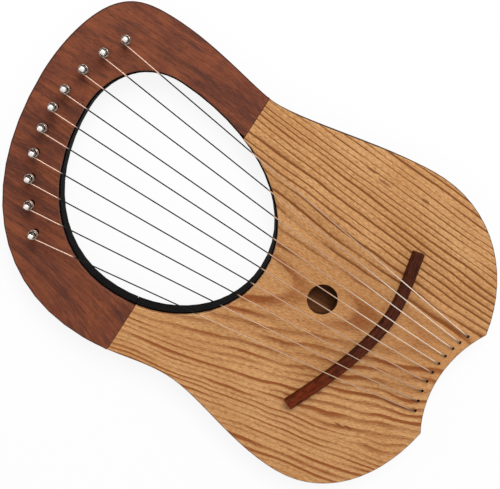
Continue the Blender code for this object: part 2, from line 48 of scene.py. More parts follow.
LENS = 61.60
SENSOR_WIDTH = 36.0
CLIP_START = 0.01

# Light and floor
KEY_PLACE = Vector((1.00, 0.35, 1.45))
KEY_SIZE = 0.9
KEY_POWER = 22.0
SKY_STRENGTH = 0.50
FLOOR_LEVEL = -0.0003
FLOOR_SIZE = 6.0
FLOOR_GREY = 0.97
FLOOR_ROUGHNESS = 0.9
FLOOR_GLOW_SHARE = 0.88

# Strings and the turns that the pins carry, in metres and degrees
STRING_COUNT = 10
WIRE_RADIUS = 0.0005
WIRE_SIDES = 12
WIRE_GAP = 0.0003
WIRE_LIFT = 0.0091
WIRE_BEND_RADIUS = 0.0012
WIRE_BEND_RISE = 0.0016
WIRE_FOOT = 0.0043
BEND_STEPS = 8
FIRST_TURN = 300.0
COIL_TURNS = 2.25
COIL_PITCH = 0.00125
COIL_HOOK_RADIUS = 0.0008
COIL_TAIL = 0.0020
TURN_POINTS = 40
HOOK_STEPS = 12
# Painted shade on the strings, dark over the opening and in the tail holes: how it fades, how far it is
# shifted, how far it reaches past the walls, and how far up from a tail hole it fades
PAINTED_SHADE_FADE = 0.0020
PAINTED_SHADE_SHIFT = 0.0014
PAINTED_SHADE_WALL = 0.0040
TAIL_PAINTED_SHADE_SHARE = 0.12

# Tuning pins
PIN_RADIUS = 0.0022
PIN_SIDES = 32
PIN_EXPOSED = 0.0195
PIN_EMBEDDED = 0.0220
PIN_TIP_CHAMFER = 0.0010
PIN_HEAD_HALF = 0.00185
PIN_HEAD_LENGTH = 0.0052
PIN_HEAD_POWER = 8.0
PIN_DOME = 0.0010
PIN_DOME_SHARE = 0.6
PIN_DOME_RINGS = 6
CROSS_HOLE_RADIUS = 0.0008
CROSS_HOLE_SIDES = 20
CROSS_DRILL_HALF = 0.006

# Beads at the strings' ends
BEAD_RADIUS = 0.0021
BEAD_RECESS = 0.0008
BEAD_TOP = 0.0040
BEAD_END_SHARE = 0.72
BEAD_RINGS = 7
BEAD_SIDES = 28

# Rounded edges of the wooden pieces, and the shares of the rim's rounding that other edges get
RIM_EDGE = 0.0012
RIM_STRIP = 0.0016
OPENING_EDGE_SHARE = 0.5
SOUND_HOLE_EDGE_SHARE = 0.4
DRILLED_EDGE_SHARE = 0.15
JOINT_SPARE = 0.006
INNER_EDGE = 0.0005
BRIDGE_EDGE = 0.0004
RIM_SEGMENTS = 4
EDGE_SEGMENTS = 3
WELD_DISTANCE = 0.00001
EDGE_ANGLE = 35.0
FLAT_ANGLE = 0.001

# Places in plan, in millimetres: the opening's middle and half sizes, the joint of the two plates, the
# sound hole, and how far round a drilled hole its edge counts as drilled. The opening's limit and fade
# are on the scale of from_opening
OPENING_MIDDLE = (4.0, 71.0)
OPENING_HALF = (83.0, 91.0)
OPENING_LIMIT = 1.45
OPENING_FADE = 0.15
JOINT_PLACE = 52.0
JOINT_CLEAR = (0.3, 1.0)
SOUND_HOLE_MIDDLE = (5.1, -68.0)
SOUND_HOLE_REACH = 16.0
DRILLED_REACH = 3.0

# Heights in millimetres where a finish changes, above the back, or above the face where the pins' painted
# shade gives way to their heads, and how strong the tints of the edges are
# Painted highlight on the rounded edges round the opening: the heights of its foot and top, and its strength
EDGE_HIGHLIGHT_FOOT = (24.6, 25.3)
EDGE_HIGHLIGHT_TOP = (25.6, 25.98)
EDGE_HIGHLIGHT_SHARE = 0.6
ASH_STAIN_TOP = 25.90
ROSEWOOD_STAIN_TOP = 25.998
STAIN_FADE = 0.07
STAIN_SHARE = 0.97
UNDERSIDE_TOP = (0.05, 0.55)
BARE_FACE = (3.96, 3.995)
SHAFT_SHADE_TOP = (13.0, 15.5)

# Year rings of the ash, in millimetres: their middle line, the level that it leans from, their arch and
# spacing, and the place where they are faint. They open to the yoke by a share of the height, and start
# part of a year in. A dark fleck has a place, a half width and a half length
RING_MIDDLE = 20.0
RING_LEAN_LEVEL = -150.0
RING_ARCH_RADIUS = 26.0
RING_SPACING = 6.7
FAINT_MIDDLE = (5.0, -62.0)
FAINT_REACH = (10.0, 60.0)
RING_OPENING = 0.129
RING_START = 0.687
ASH_FLECKS = (
    (109.0, -44.0, 0.9, 5.0), (106.5, -57.0, 0.9, 6.0), (112.0, -92.0, 1.3, 3.5),
    (-74.0, -138.0, 0.8, 4.0), (-72.0, -146.0, 0.8, 4.0))

MILLIMETRES_IN_METRE = 1000.0

tags = [f"{number:02d}" for number in range(1, STRING_COUNT + 1)]
face_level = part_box("soundboard")[1].z
coil_radius = PIN_RADIUS + WIRE_GAP + WIRE_RADIUS
coil_start = WIRE_LIFT + COIL_PITCH
coil_end = coil_start + COIL_PITCH * COIL_TURNS


def heading(degrees):
    return Vector((math.cos(math.radians(degrees)), math.sin(math.radians(degrees))))


def lifted(point, height):
    return Vector((point.x, point.y, height))


def tone(red, green, blue):
    """A colour from its display values, from 0 to 255."""
    linear = []
    for value in (red, green, blue):
        linear.append(((value / 255 + 0.055) / 1.055) ** 2.4)
    return (*linear, 1.0)


def grey(level):
    return (level, level, level, 1.0)


# Materials

def feed(tree, socket, value):
    if isinstance(value, Term):
        tree.links.new(value.socket, socket)
    else:
        socket.default_value = value


class Term:
    """A number or colour that varies over a surface. Arithmetic on it adds nodes to its material."""

    def __init__(self, tree, socket):
        self.tree = tree
        self.socket = socket

    def math(self, operation, *others):
        node = self.tree.nodes.new("ShaderNodeMath")
        node.operation = operation
        for socket, value in zip(node.inputs, (self, *others)):
            feed(self.tree, socket, value)
        return Term(self.tree, node.outputs[0])

    def __add__(self, other):
        return self.math("ADD", other)

    def __sub__(self, other):
        return self.math("SUBTRACT", other)

    def __mul__(self, other):
        return self.math("MULTIPLY", other)

    def __truediv__(self, other):
        return self.math("DIVIDE", other)

    def rise(self, low, high):
        """0 below the low value and 1 above the high one, with a soft climb between them."""
        node = self.tree.nodes.new("ShaderNodeMapRange")
        node.interpolation_type = "SMOOTHSTEP"
        feed(self.tree, node.inputs["Value"], self)
        node.inputs["From Min"].default_value = low
        node.inputs["From Max"].default_value = high
        return Term(self.tree, node.outputs["Result"])

    def ramp(self, *stops):
        """A colour or grey read off (place, colour) stops."""
        node = self.tree.nodes.new("ShaderNodeValToRGB")
        elements = node.color_ramp.elements
        while len(elements) < len(stops):
            elements.new(1.0)
        for element, (place, colour) in zip(elements, stops):
            element.position = place
            element.color = colour
        feed(self.tree, node.inputs["Fac"], self)
        return Term(self.tree, node.outputs["Color"])


class Finish:
    """A material with one principled shader."""

    def __init__(self, name):
        self.material = bpy.data.materials.new(name)
        self.material.use_nodes = True
        self.tree = self.material.node_tree
        self.shader = self.tree.nodes["Principled BSDF"]

    def set(self, socket, value):
        feed(self.tree, self.shader.inputs[socket], value)

    def place(self):
        """Where on the part a point is, as three terms in millimetres."""
        source = self.tree.nodes.new("ShaderNodeTexCoord")
        scaled = self.tree.nodes.new("ShaderNodeVectorMath")
        scaled.operation = "SCALE"
        scaled.inputs["Scale"].default_value = MILLIMETRES_IN_METRE
        split = self.tree.nodes.new("ShaderNodeSeparateXYZ")
        self.tree.links.new(source.outputs["Object"], scaled.inputs[0])
        self.tree.links.new(scaled.outputs["Vector"], split.inputs[0])
        return [Term(self.tree, output) for output in split.outputs]

    def noise(self, x, y, z, detail=2.0, roughness=0.5):
        """Soft noise from 0 to 1, about 0.5, with features one unit across."""
        joined = self.tree.nodes.new("ShaderNodeCombineXYZ")
        for socket, value in zip(joined.inputs, (x, y, z)):
            feed(self.tree, socket, value)
        node = self.tree.nodes.new("ShaderNodeTexNoise")
        node.inputs["Scale"].default_value = 1.0
        node.inputs["Detail"].default_value = detail
        node.inputs["Roughness"].default_value = roughness
        self.tree.links.new(joined.outputs[0], node.inputs["Vector"])
        return Term(self.tree, node.outputs["Fac"])

    def mix(self, share, first, second):
        """The first colour, with a share of the second mixed in."""
        node = self.tree.nodes.new("ShaderNodeMix")
        node.data_type = "RGBA"
        feed(self.tree, node.inputs["Factor"], share)
        feed(self.tree, node.inputs[6], first)
        feed(self.tree, node.inputs[7], second)
        return Term(self.tree, node.outputs[2])

    def bump(self, height, strength, distance):
        node = self.tree.nodes.new("ShaderNodeBump")
        node.inputs["Strength"].default_value = strength
        node.inputs["Distance"].default_value = distance
        feed(self.tree, node.inputs["Height"], height)
        self.tree.links.new(node.outputs["Normal"], self.shader.inputs["Normal"])

    def attribute(self, name):
        node = self.tree.nodes.new("ShaderNodeAttribute")
        node.attribute_name = name
        return Term(self.tree, node.outputs["Fac"])


def from_opening(x, y):
    """How far out a place in plan is: about 1 at the edge of the opening, and more outside it."""
    off_x = (x - OPENING_MIDDLE[0]) / OPENING_HALF[0]
    off_y = (y - OPENING_MIDDLE[1]) / OPENING_HALF[1]
    return off_x * off_x + off_y * off_y


def away_from_opening(x, y):
    """0 at the edge of the opening and 1 at the outside of the harp, at a place in plan."""
    return from_opening(x, y).rise(OPENING_LIMIT - OPENING_FADE, OPENING_LIMIT + OPENING_FADE)


def edge_tint(finish, colour, opening_highlight, outer_tint, stain_top):
    """Tints a face plate's rounded edges: a pale painted highlight round the opening, stained dark round the
    outside.
    """
    x, y, z = finish.place()
    outside = away_from_opening(x, y)
    off_joint = (y - JOINT_PLACE).math("ABSOLUTE").rise(*JOINT_CLEAR)
    # Painted highlight: a pale tone on the rounded edges round the opening, where light catches them
    painted_edge_highlight = (z.rise(*EDGE_HIGHLIGHT_TOP) * -1 + 1) * z.rise(*EDGE_HIGHLIGHT_FOOT)
    colour = finish.mix(painted_edge_highlight * (outside * -1 + 1) * off_joint * EDGE_HIGHLIGHT_SHARE, colour, opening_highlight)
    stain = z.rise(stain_top - STAIN_FADE, stain_top) * -1 + 1
    return finish.mix(stain * outside * STAIN_SHARE, colour, outer_tint)


def ash_finish():
    """Pale tan wood with brown year rings, which arch round a leaning middle line and wave on the left."""
    finish = Finish("ash_wood")
    x, y, z = finish.place()
    # Where the rings run: along a leaning middle line, wavy on the left and crowded at both outsides
    drift = finish.noise(x / 70, y / 130, z / 70, 1.0) - 0.5
    ripple = finish.noise(x / 12, y / 34, z / 12, 3.0) - 0.5
    tilt = x.rise(10, 70) * 0.14 + (x * -1).rise(75, 125) * 0.08 - 0.19
    steady = x + drift * 10 - (y - RING_LEAN_LEVEL) * tilt - RING_MIDDLE
    side = (steady / 30).math("TANH")
    spread = side * 0.15 + 1.1
    crowding = (x - 92).math("MAXIMUM", 0.0) * 0.3 + (x + 80).math("MINIMUM", 0.0) * 0.4
    flow = steady * spread + crowding - side * y * RING_OPENING
    left_side = side * -0.5 + 0.5
    wave = finish.noise(x / 38, y / 42, z / 38, 1.0) - 0.5
    off_middle = steady + ripple * (left_side * 2.0 + 1.6) + wave * (left_side * 9 + 2)
    across = off_middle * spread + crowding
    arched = (across.math("ABSOLUTE").math("POWER", 3.0) + RING_ARCH_RADIUS ** 3).math("POWER", 1 / 3)
    even = (arched - y * RING_OPENING) / RING_SPACING - RING_START
    shift = (finish.noise(even * 0.5, y / 300, 0.0, 1.0) - 0.5) * steady.math("ABSOLUTE").rise(25, 70)
    rings = even + shift * 1.3
    # Each year, from its dark line to its pale wood: crisp on the right and broad elsewhere
    year = rings.math("FLOOR")
    part_of_year = rings.math("FRACT")
    crisp = part_of_year.ramp(
        (0.00, grey(0.25)), (0.05, grey(1.0)), (0.15, grey(0.95)), (0.26, grey(0.30)),
        (0.48, grey(0.10)), (0.55, grey(0.32)), (0.62, grey(0.10)), (0.90, grey(0.0)), (1.00, grey(0.25)))
    broad = part_of_year.ramp(
        (0.00, grey(0.50)), (0.10, grey(1.0)), (0.30, grey(0.8)), (0.52, grey(0.32)),
        (0.74, grey(0.06)), (0.90, grey(0.0)), (1.00, grey(0.50)))
    band = finish.mix(off_middle.rise(0, 50), broad, crisp)
    faint_x = x - FAINT_MIDDLE[0]
    faint_y = y - FAINT_MIDDLE[1]
    calm = (faint_x * faint_x + faint_y * faint_y).math("SQRT").rise(*FAINT_REACH) * 0.4 + 0.6
    strength = finish.noise(year * 0.73, y / 60, z / 90, 1.0).rise(0.25, 0.75) * 0.8 + 0.3
    # Fibres, speckles and pores that follow the rings, and clouds of colour that don't
    fibre = finish.noise(flow / 0.8, y / 18, z / 3, 3.0, 0.6)
    speckle = finish.noise(flow / 0.9, y / 3.6, z / 2, 2.0, 0.6)
    pore = finish.noise(flow / 0.45, y / 5, z / 1.5, 1.0).rise(0.58, 0.72)
    cloud = finish.noise(x / 30, y / 55, z / 30, 2.0)
    right_side = x.rise(35, 60)
    bold = right_side * 0.9 - x.rise(88, 106) * 0.6 + 1
    dark_share = band * strength * calm * bold * (fibre * 0.55 + speckle * 0.65 + 0.5)
    # Colours, from the ground to the dark flecks and the edges
    colour = finish.mix(cloud.rise(0.3, 0.7), tone(214, 162, 108), tone(200, 145, 91))
    redder = steady.math("ABSOLUTE").rise(10, 60) * -1 + 1
    colour = finish.mix(redder * 0.35, colour, tone(186, 122, 68))
    colour = finish.mix((speckle * -1 + 1).rise(0.46, 0.74) * 0.6, colour, tone(228, 179, 124))
    colour = finish.mix(speckle.rise(0.46, 0.74) * (right_side * 0.25 + 0.65), colour, tone(158, 98, 50))
    line_colour = finish.mix(off_middle.rise(0, 40), tone(146, 80, 36), tone(124, 72, 30))
    colour = finish.mix(dark_share.rise(0.05, 1.0), colour, line_colour)
    colour = finish.mix(fibre.rise(0.46, 0.76) * 0.45, colour, tone(156, 98, 54))
    colour = finish.mix(pore * (band * 0.5 + 0.2), colour, tone(104, 58, 28))
    for fleck_x, fleck_y, half_width, half_length in ASH_FLECKS:
        off_x = (x - fleck_x) / half_width
        off_y = (y - fleck_y) / half_length
        fleck = (off_x * off_x + off_y * off_y).rise(0.3, 1.6) * -1 + 1
        colour = finish.mix(fleck * 0.7, colour, tone(106, 58, 29))
    # Edge tints: the pale tone is the painted highlight round the opening, the dark one a stain round the
    # outside
    colour = edge_tint(finish, colour, tone(216, 172, 130), tone(58, 32, 16), ASH_STAIN_TOP)
    finish.set("Base Color", colour)
    finish.set("Roughness", fibre * 0.14 + cloud * 0.08 + 0.44)
    finish.set("Specular IOR Level", 0.15)
    finish.bump(fibre * 0.4 - pore - band * 0.3, 0.25, 0.0002)
    return finish.material


def rosewood_finish():
    """Red-brown wood with long darker streaks, which lean over on the left arm."""
    finish = Finish("rosewood")
    x, y, z = finish.place()
    lean = (x * -1).rise(50, 115) * 0.48
    bend = (finish.noise(x / 60, y / 110, z / 60, 1.0) - 0.5) * 10
    across = x - (y - 70) * lean + bend
    band = finish.noise(across / 7, y / 120, z / 7, 3.0)
    smudge = finish.noise(across / 5, y / 22, z / 13, 3.0).rise(0.52, 0.70)
    streak = finish.noise(across / 1.5, y / 40, z / 4, 3.0, 0.6)
    fibre = finish.noise(across / 0.7, y / 8, z / 1.5, 2.0)
    pore = finish.noise(across / 0.6, y / 3.5, z / 0.8, 1.0).rise(0.60, 0.72)
    cloud = finish.noise(x / 28, y / 28, z / 28, 2.0)
    colour = finish.mix(cloud.rise(0.3, 0.7), tone(138, 76, 49), tone(110, 59, 43))
    colour = finish.mix(band.rise(0.44, 0.64) * 0.65, colour, tone(78, 44, 36))
    colour = finish.mix(streak.rise(0.42, 0.68) * 0.6, colour, tone(86, 47, 36))
    colour = finish.mix(fibre.rise(0.46, 0.74) * 0.42, colour, tone(160, 90, 58))
    colour = finish.mix(pore * 0.55, colour, tone(48, 24, 20))
    colour = finish.mix(smudge * 0.55, colour, tone(70, 45, 40))
    # Edge tints: the lighter tone is the painted highlight round the opening, the dark one a stain round the
    # outside
    colour = edge_tint(finish, colour, tone(122, 70, 48), tone(62, 28, 16), ROSEWOOD_STAIN_TOP)
    finish.set("Base Color", colour)
    finish.set("Roughness", streak * 0.16 + pore * 0.1 + 0.40)
    finish.set("Specular IOR Level", 0.1)
    finish.bump(fibre * 0.3 - pore, 0.22, 0.0002)
    return finish.material


def bridge_finish():
    """Very dark wood, redder towards the bridge's left end, with streaks along its length."""
    finish = Finish("dark_rosewood")
    x, y, z = finish.place()
    bend = (finish.noise(x / 40, y / 40, z / 40, 1.0) - 0.5) * 4
    along = y + z * 0.6 + bend - (x - 18) * (x - 18) / 400
    band = finish.noise(x / 60, along / 2.2, z / 8, 3.0)
    fibre = finish.noise(x / 9, along / 0.6, z / 3, 3.0, 0.6)
    pore = finish.noise(x / 2.6, along / 0.4, z / 0.8, 1.0).rise(0.60, 0.72)
    redder = (x * -1).rise(-5, 70)
    mottle = finish.noise(x / 5, along / 1.5, z / 5, 2.0)
    colour = finish.mix(redder, tone(70, 33, 22), tone(110, 42, 16))
    colour = finish.mix(band.rise(0.42, 0.66) * 0.65, colour, tone(46, 21, 15))
    colour = finish.mix(mottle.rise(0.48, 0.66) * 0.6, colour, tone(34, 15, 11))
    colour = finish.mix(fibre.rise(0.46, 0.74) * 0.6, colour, tone(118, 60, 35))
    colour = finish.mix(pore * 0.6, colour, tone(26, 12, 10))
    finish.set("Base Color", colour)
    finish.set("Roughness", fibre * 0.18 + 0.40)
    finish.set("Specular IOR Level", 0.05)
    finish.bump(fibre * 0.4 - pore, 0.25, 0.0002)
    return finish.material


def stained_finish(name, bare_inside):
    """Wood stained nearly black, which on the opening's inner walls stands for their painted shade, browner
    outside and underneath, and if asked bare on the face inside the box.
    """
    finish = Finish(name)
    x, y, z = finish.place()
    band = finish.noise(x / 6, y / 70, z / 6, 3.0)
    fibre = finish.noise(x / 0.8, y / 14, z / 0.8, 3.0, 0.6)
    pore = finish.noise(x / 0.5, y / 4, z / 0.5, 1.0).rise(0.60, 0.72)
    # Near-black: on the opening's inner walls this is painted shade as well as stain
    colour = finish.mix(band.rise(0.35, 0.7), tone(13, 10, 9), tone(7, 6, 6))
    colour = finish.mix(fibre.rise(0.55, 0.80) * 0.5, colour, tone(30, 20, 17))
    lighter_brown = finish.mix(band.rise(0.35, 0.7), tone(66, 45, 35), tone(42, 29, 23))
    lighter_brown = finish.mix(fibre.rise(0.45, 0.80) * 0.6, lighter_brown, tone(96, 67, 50))
    underneath = z.rise(*UNDERSIDE_TOP) * -1 + 1
    colour = finish.mix(underneath.math("MAXIMUM", away_from_opening(x, y) * 0.55), colour, lighter_brown)
    if bare_inside:
        bare = finish.mix(band.rise(0.35, 0.65), tone(150, 98, 62), tone(112, 68, 42))
        bare = finish.mix(fibre.rise(0.5, 0.8) * 0.4, bare, tone(90, 54, 34))
        colour = finish.mix(z.rise(*BARE_FACE), colour, bare)
    colour = finish.mix(pore * 0.6, colour, tone(5, 4, 4))
    finish.set("Base Color", colour)
    finish.set("Roughness", fibre * 0.2 + band * 0.1 + 0.50)
    # Hardly any sheen, so that the painted shade of the inner walls stays near-black
    finish.set("Specular IOR Level", 0.01)
    finish.bump(fibre * 0.5 - pore, 0.3, 0.0002)
    return finish.material


def spruce_finish():
    """Plain pale wood for the blocks, dowels and braces inside."""
    finish = Finish("spruce")
    x, y, z = finish.place()
    bend = (finish.noise(x / 50, y / 80, z / 50, 1.0) - 0.5) * 5
    rings = ((x + bend) / 1.8).math("FRACT")
    fibre = finish.noise(x / 0.5, y / 12, z / 0.5, 3.0, 0.6)
    colour = finish.mix(rings.rise(0.55, 0.98), tone(216, 184, 136), tone(182, 138, 88))
    colour = finish.mix(fibre.rise(0.5, 0.8) * 0.3, colour, tone(168, 128, 84))
    finish.set("Base Color", colour)
    finish.set("Roughness", fibre * 0.2 + 0.5)
    finish.bump(fibre + rings * 0.4, 0.25, 0.0002)
    return finish.material


def string_finish():
    """Drawn steel wire: bright over the wood and duller at the left; painted shade makes it dark and not
    metallic over the opening and down into the tail holes.
    """
    finish = Finish("string_steel")
    x, y, z = finish.place()
    drawn = finish.noise(x / 0.2, y / 6, z / 0.2, 2.0)
    spot = finish.noise(x / 1.5, y / 9, z / 1.5, 3.0)
    # Painted shade and dark reflection: near-black and not metallic over the opening and in the tail holes
    painted_shade = finish.attribute("painted_shade")
    bare_steel = finish.mix(y.rise(-40, 60), tone(234, 218, 200), tone(184, 152, 134))
    # Duller over the left and the middle of the ash plate
    duller_stretch = (x * -1).rise(-25, 15).math("MAXIMUM", y.rise(-120, -60)) * (y.rise(10, 60) * -1 + 1)
    bare_steel = finish.mix(duller_stretch * 0.8, bare_steel, tone(166, 128, 96))
    bright = finish.mix(spot.rise(0.35, 0.7) * 0.3, bare_steel, tone(166, 144, 128))
    painted_shade_colour = finish.mix(spot.rise(0.35, 0.7), tone(9, 12, 14), tone(4, 5, 6))
    finish.set("Base Color", finish.mix(painted_shade, bright, painted_shade_colour))
    finish.set("Metallic", painted_shade * -1 + 1)
    finish.set("Roughness", drawn * 0.12 + painted_shade * 0.2 + 0.34)
    finish.set("Specular IOR Level", 0.1)
    finish.bump(drawn, 0.15, 0.00005)
    return finish.material


def wound_finish():
    """The wire on the pins: the same steel, darkened in patches by painted shade."""
    finish = Finish("wound_steel")
    x, y, z = finish.place()
    drawn = finish.noise(x / 0.3, y / 0.3, z / 0.1, 2.0)
    spot = finish.noise(x / 1.2, y / 1.2, z / 1.2, 3.0)
    # Painted shade: dark patches on the turns
    finish.set("Base Color", finish.mix(spot.rise(0.35, 0.7), tone(178, 169, 160), tone(70, 63, 58)))
    finish.set("Metallic", 1.0)
    finish.set("Roughness", drawn * 0.12 + 0.16)
    finish.bump(drawn, 0.15, 0.00005)
    return finish.material


def turned_metal(finish, roughness):
    """Fine rings from the lathe, small scratches and dulled patches. Gives the share that is dulled."""
    x, y, z = finish.place()
    ring = finish.noise(x / 3, y / 3, z / 0.12, 2.0)
    scratch = finish.noise(x / 0.25, y / 0.25, z / 1.6, 2.0)
    patch = finish.noise(x / 2.2, y / 2.2, z / 2.2, 3.0)
    finish.set("Metallic", 1.0)
    finish.set("Roughness", ring * 0.10 + patch * 0.12 + roughness)
    finish.bump(ring * 0.6 + scratch * 0.4, 0.12, 0.00006)
    return patch.rise(0.40, 0.75)


def nickel_finish():
    """Plated pins: bright on the head, with painted shade darkening the shaft below it."""
    finish = Finish("pin_nickel")
    z = finish.place()[2]
    dulled = turned_metal(finish, 0.12)
    head = finish.mix(dulled, tone(240, 236, 230), tone(206, 200, 194))
    # Painted shade: the shaft among the turns and near the wood is darkened
    shaded_shaft = finish.mix(dulled, tone(54, 49, 46), tone(26, 23, 21))
    finish.set("Base Color", finish.mix(z.rise(*SHAFT_SHADE_TOP), shaded_shaft, head))
    return finish.material


def brass_finish():
    """Turned brass for the beads."""
    finish = Finish("bead_brass")
    dulled = turned_metal(finish, 0.20)
    finish.set("Base Color", finish.mix(dulled, tone(222, 184, 112), tone(176, 136, 76)))
    return finish.material


# Mesh pieces

def shown(name, mesh, material):
    mesh.materials.append(material)
    made = bpy.data.objects.new(name, mesh)
    bpy.context.scene.collection.objects.link(made)
    return made


def closed_mesh(name, rings):
    """A smooth closed mesh from rings of points of one count, with a cap at each end."""
    shape = bmesh.new()
    rows = [[shape.verts.new(point) for point in ring] for ring in rings]
    for lower, upper in zip(rows, rows[1:]):
        for i in range(len(lower)):
            shape.faces.new((lower[i - 1], lower[i], upper[i], upper[i - 1]))
    shape.faces.new(rows[0][::-1])
    shape.faces.new(rows[-1])
    bmesh.ops.recalc_face_normals(shape, faces=shape.faces)
    mesh = bpy.data.meshes.new(name)
    shape.to_mesh(mesh)
    shape.free()
    mesh.shade_smooth()
    mesh.set_sharp_from_angle(angle=math.radians(EDGE_ANGLE))
    return mesh


def baked(blank):
    """The mesh that an object's modifiers make. The object itself is taken away."""
    bpy.context.scene.collection.objects.link(blank)
    mesh = bpy.data.meshes.new_from_object(blank.evaluated_get(bpy.context.evaluated_depsgraph_get()))
    bpy.data.objects.remove(blank)
    return mesh


def wire_mesh(name, points, painted_shade):
    """A round wire along its points, which keeps how much painted shade it has at each of them."""
    last = len(points) - 1
    side = (points[1] - points[0]).orthogonal()
    rings = []
    for index, point in enumerate(points):
        way = (points[min(index + 1, last)] - points[max(index - 1, 0)]).normalized()
        side = (side - way * side.dot(way)).normalized()
        up = way.cross(side)
        ring = []
        for step in range(WIRE_SIDES):
            turn = heading(360 * step / WIRE_SIDES) * WIRE_RADIUS
            ring.append(point + side * turn.x + up * turn.y)
        rings.append(ring)
    mesh = closed_mesh(name, rings)
    values = mesh.attributes.new("painted_shade", "FLOAT", "POINT")
    values.data.foreach_set("value", [share for share in painted_shade for step in range(WIRE_SIDES)])
    return mesh


def crossings(start, end, segments):
    """How far along a line in plan, as shares of it, it meets the segments."""
    way = end - start
    found = []
    for here, there in segments:
        step = there - here
        divisor = way.x * step.y - way.y * step.x
        if divisor == 0:
            continue
        gap = here - start
        along = (gap.x * step.y - gap.y * step.x) / divisor
        across = (gap.x * way.y - gap.y * way.x) / divisor
        if 0 <= along <= 1 and 0 <= across <= 1:
            found.append(along)
    return found


def top_edges(node, rim_only):
    """The edges of a CAD node's top face in plan, all of them or those round its rim and its holes."""
    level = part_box(node)[1].z - WELD_DISTANCE
    shape = bmesh.new()
    shape.from_mesh(nodes[node].data)
    segments = []
    for edge in shape.edges:
        ends = [corner.co for corner in edge.verts]
        if min(end.z for end in ends) > level and (edge.is_boundary or not rim_only):
            segments.append([end.xy for end in ends])
    shape.free()
    return segments


def middle(node):
    low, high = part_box(node)
    return ((low + high) / 2).xy


def leaving_angle(pin, hole):
    """The angle round a pin, in degrees, where its string leaves on the left side."""
    way = hole - pin
    return math.degrees(math.atan2(way.y, way.x) - math.acos(coil_radius / way.length))


def bend(corner, way_in, way_out):
    """Points round a corner of a wire, from one straight to the next."""
    turn = way_in.angle(way_out)
    reach = WIRE_BEND_RADIUS * math.tan(turn / 2)
    side = (way_out - way_in * way_out.dot(way_in)).normalized()
    centre = corner - way_in * reach + side * WIRE_BEND_RADIUS
    points = []
    for step in range(BEND_STEPS + 1):
        angle = turn * step / BEND_STEPS
        points.append(centre + (way_in * math.sin(angle) - side * math.cos(angle)) * WIRE_BEND_RADIUS)
    return points


def string_route(pin, hole, bridge_edges, board_rim, yoke_rim):
    """A string from its bead over the bridge and most of the way round its pin, and its painted shade: dark
    over the opening and in its tail hole.
    """
    leaving = leaving_angle(pin, hole)
    start = pin + heading(leaving) * coil_radius
    string_level = face_level + WIRE_LIFT
    crest = lifted(start.lerp(hole, max(crossings(start, hole, bridge_edges))), string_level)
    corner = lifted(hole, face_level + WIRE_BEND_RISE)
    points = [lifted(hole, WIRE_FOOT)]
    points += bend(corner, Vector((0, 0, 1)), (crest - corner).normalized())
    painted_shade = [1.0] * len(points)
    points.append(corner.lerp(crest, TAIL_PAINTED_SHADE_SHARE))
    points.append(crest)
    painted_shade += [0.0, 0.0]
    length = (hole - start).length
    low = min(crossings(start, hole, board_rim)) - (PAINTED_SHADE_SHIFT + PAINTED_SHADE_WALL) / length
    high = max(crossings(start, hole, yoke_rim)) - (PAINTED_SHADE_SHIFT - PAINTED_SHADE_WALL) / length
    fade = PAINTED_SHADE_FADE / length
    for share, value in ((low + fade, 0.0), (low - fade, 1.0), (high + fade, 1.0), (high - fade, 0.0)):
        points.append(lifted(start.lerp(hole, share), string_level))
        painted_shade.append(value)
    steps = round(TURN_POINTS * FIRST_TURN / 360)
    for step in range(steps + 1):
        angle = leaving - FIRST_TURN * step / steps
        points.append(lifted(pin + heading(angle) * coil_radius, string_level))
        painted_shade.append(0.0)
    points.append(points[-1] + lifted(heading(leaving - FIRST_TURN - 90), 0) * WIRE_RADIUS * 2)
    painted_shade.append(0.0)
    return points, painted_shade


def hook_sizes():
    """How far out on the cross hole's line the wire starts to turn, and the angle to the coil's end."""
    reach = math.sqrt(coil_radius ** 2 - 2 * coil_radius * COIL_HOOK_RADIUS)
    return reach, math.degrees(math.atan2(COIL_HOOK_RADIUS, reach))


def coil_points():
    """The turns above the string's own, ending in the pin's cross hole. The string leaves at angle 0."""
    steps = round(TURN_POINTS * COIL_TURNS)
    points = []
    for step in range(steps + 1):
        share = step / steps
        turned = heading(-FIRST_TURN - 360 * COIL_TURNS * share) * coil_radius
        points.append(lifted(turned, coil_start + (coil_end - coil_start) * share))
    points.insert(0, points[0] + lifted(heading(90 - FIRST_TURN), 0) * WIRE_RADIUS * 2)
    end = -FIRST_TURN - 360 * COIL_TURNS
    reach, swing = hook_sizes()
    centre = heading(end) * (coil_radius - COIL_HOOK_RADIUS)
    for step in range(1, HOOK_STEPS + 1):
        angle = end - (90 + swing) * step / HOOK_STEPS
        points.append(lifted(centre + heading(angle) * COIL_HOOK_RADIUS, coil_end))
    points.append(lifted(heading(end - swing) * (reach - COIL_TAIL), coil_end))
    return points


def ring_of(radius, height, sides):
    return [lifted(heading(360 * step / sides) * radius, height) for step in range(sides)]


def head_ring(scale, height):
    """A ring of the pin's head: a square with rounded corners."""
    ring = []
    for step in range(PIN_SIDES):
        way = heading(360 * step / PIN_SIDES)
        size = (abs(way.x) ** PIN_HEAD_POWER + abs(way.y) ** PIN_HEAD_POWER) ** (1 / PIN_HEAD_POWER)
        ring.append(lifted(way * min(PIN_HEAD_HALF / size, PIN_RADIUS) * scale, height))
    return ring


